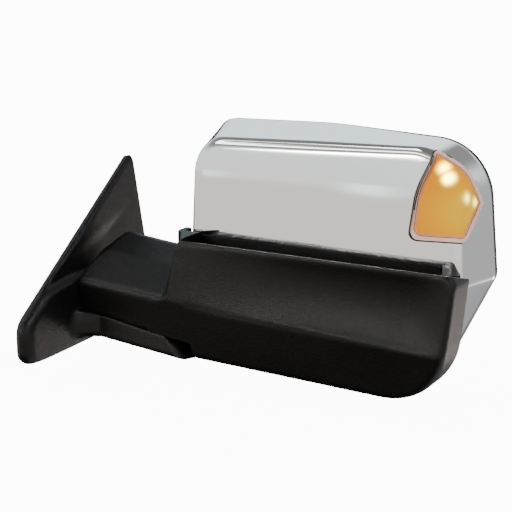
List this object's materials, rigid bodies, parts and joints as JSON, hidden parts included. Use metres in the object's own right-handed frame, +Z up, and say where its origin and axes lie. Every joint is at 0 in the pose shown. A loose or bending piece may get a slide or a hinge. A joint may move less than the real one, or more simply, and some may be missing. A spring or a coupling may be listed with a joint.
{
  "type": "car side mirror",
  "caption": "Folding, flip-up towing side mirror with a chrome cap, an amber turn-signal lens, a main glass and a spotter glass.",
  "frame": {"origin": "on the door face, in the middle of the mounting bracket", "axes": "+X away from the door, -Y towards the front of the vehicle, +Z up"},
  "size_m": [0.4697, 0.2426, 0.2484],
  "materials": {
    "black_plastic": "fine moulded grain, satin",
    "chrome": "mirror polish",
    "amber_lens": "clear amber, polished",
    "reflector": "metallised",
    "signal_light": "clear dome",
    "circuit_board": "lacquered",
    "mirror_glass": "polished",
    "cast_aluminium": "as cast",
    "zinc_steel": "zinc plated",
    "nylon": "as moulded",
    "rubber": "matt"
  },
  "bodies": {
    "base": {"base_cover": "black_plastic", "base_bracket": "cast_aluminium", "base_gasket": "rubber", "stud_1": "zinc_steel", "stud_2": "zinc_steel", "stud_3": "zinc_steel", "locating_pin": "zinc_steel", "harness_grommet": "rubber", "fold_shaft": "zinc_steel", "fold_detent_ring": "zinc_steel", "shaft_washer": "zinc_steel", "shaft_nut": "zinc_steel"},
    "arm": {"arm_front_cover": "black_plastic", "arm_rear_cover": "black_plastic", "arm_frame": "cast_aluminium", "fold_bushing": "nylon", "fold_spring": "zinc_steel", "spring_seat": "zinc_steel", "arm_screw_1": "zinc_steel", "arm_screw_2": "zinc_steel", "arm_screw_3": "zinc_steel", "arm_screw_4": "zinc_steel", "flip_shaft": "zinc_steel", "flip_detent_disc": "zinc_steel"},
    "head": {"chrome_cap": "chrome", "head_lower_cover": "black_plastic", "head_bezel": "black_plastic", "head_bracket": "cast_aluminium", "flip_bushing": "nylon", "flip_wave_washer": "zinc_steel", "flip_retainer": "zinc_steel", "signal_lens": "amber_lens", "signal_seal": "rubber", "signal_housing": "reflector", "signal_board": "circuit_board", "signal_led_1": "signal_light", "signal_led_2": "signal_light", "signal_led_3": "signal_light", "signal_led_4": "signal_light", "signal_led_5": "signal_light", "actuator_housing": "nylon", "actuator_cover": "nylon", "motor_tilt": "zinc_steel", "motor_pan": "zinc_steel", "spotter_mount": "nylon"},
    "glass_ring": {"glass_gimbal": "nylon"},
    "main_mirror": {"glass_holder": "nylon", "heater_pad": "circuit_board", "main_glass": "mirror_glass"},
    "tilt_plunger": {"plunger_tilt": "nylon"},
    "pan_plunger": {"plunger_pan": "nylon"},
    "spotter_ring": {"spotter_gimbal": "nylon"},
    "spotter_mirror": {"spotter_holder": "nylon", "spotter_glass": "mirror_glass"}
  },
  "joints": [
    {"name": "arm_fold", "type": "hinge", "parent": "base", "child": "arm", "pos_m": [0.08, 0.015, 0], "axis": [0.1392, 0, 0.9903], "range_deg": [0, 62]},
    {"name": "head_flip", "type": "hinge", "parent": "arm", "child": "head", "pos_m": [0.375, 0, 0.002], "axis": [0, 1, 0], "range_deg": [0, 90]},
    {"name": "glass_tilt", "type": "hinge", "parent": "head", "child": "glass_ring", "pos_m": [0.245, 0.049, 0.062], "axis": [1, 0, 0], "range_deg": [-6, 6]},
    {"name": "glass_pan", "type": "hinge", "parent": "glass_ring", "child": "main_mirror", "pos_m": [0.245, 0.049, 0.062], "axis": [0, 0, 1], "range_deg": [-7, 7]},
    {"name": "tilt_plunger_slide", "type": "slide", "parent": "head", "child": "tilt_plunger", "axis": [0, 1, 0], "range_m": [-0.0035, 0.0035]},
    {"name": "pan_plunger_slide", "type": "slide", "parent": "head", "child": "pan_plunger", "axis": [0, 1, 0], "range_m": [-0.0045, 0.0045]},
    {"name": "spotter_tilt", "type": "hinge", "parent": "head", "child": "spotter_ring", "pos_m": [0.392, 0.049, 0.062], "axis": [1, 0, 0], "range_deg": [-6, 6]},
    {"name": "spotter_pan", "type": "hinge", "parent": "spotter_ring", "child": "spotter_mirror", "pos_m": [0.392, 0.049, 0.062], "axis": [0, 0, 1], "range_deg": [-6, 6]}
  ],
  "couplings": [
    {"joint": "tilt_plunger_slide", "follows": "glass_tilt", "m_per_rad": 0.027},
    {"joint": "pan_plunger_slide", "follows": "glass_pan", "m_per_rad": -0.031}
  ]
}
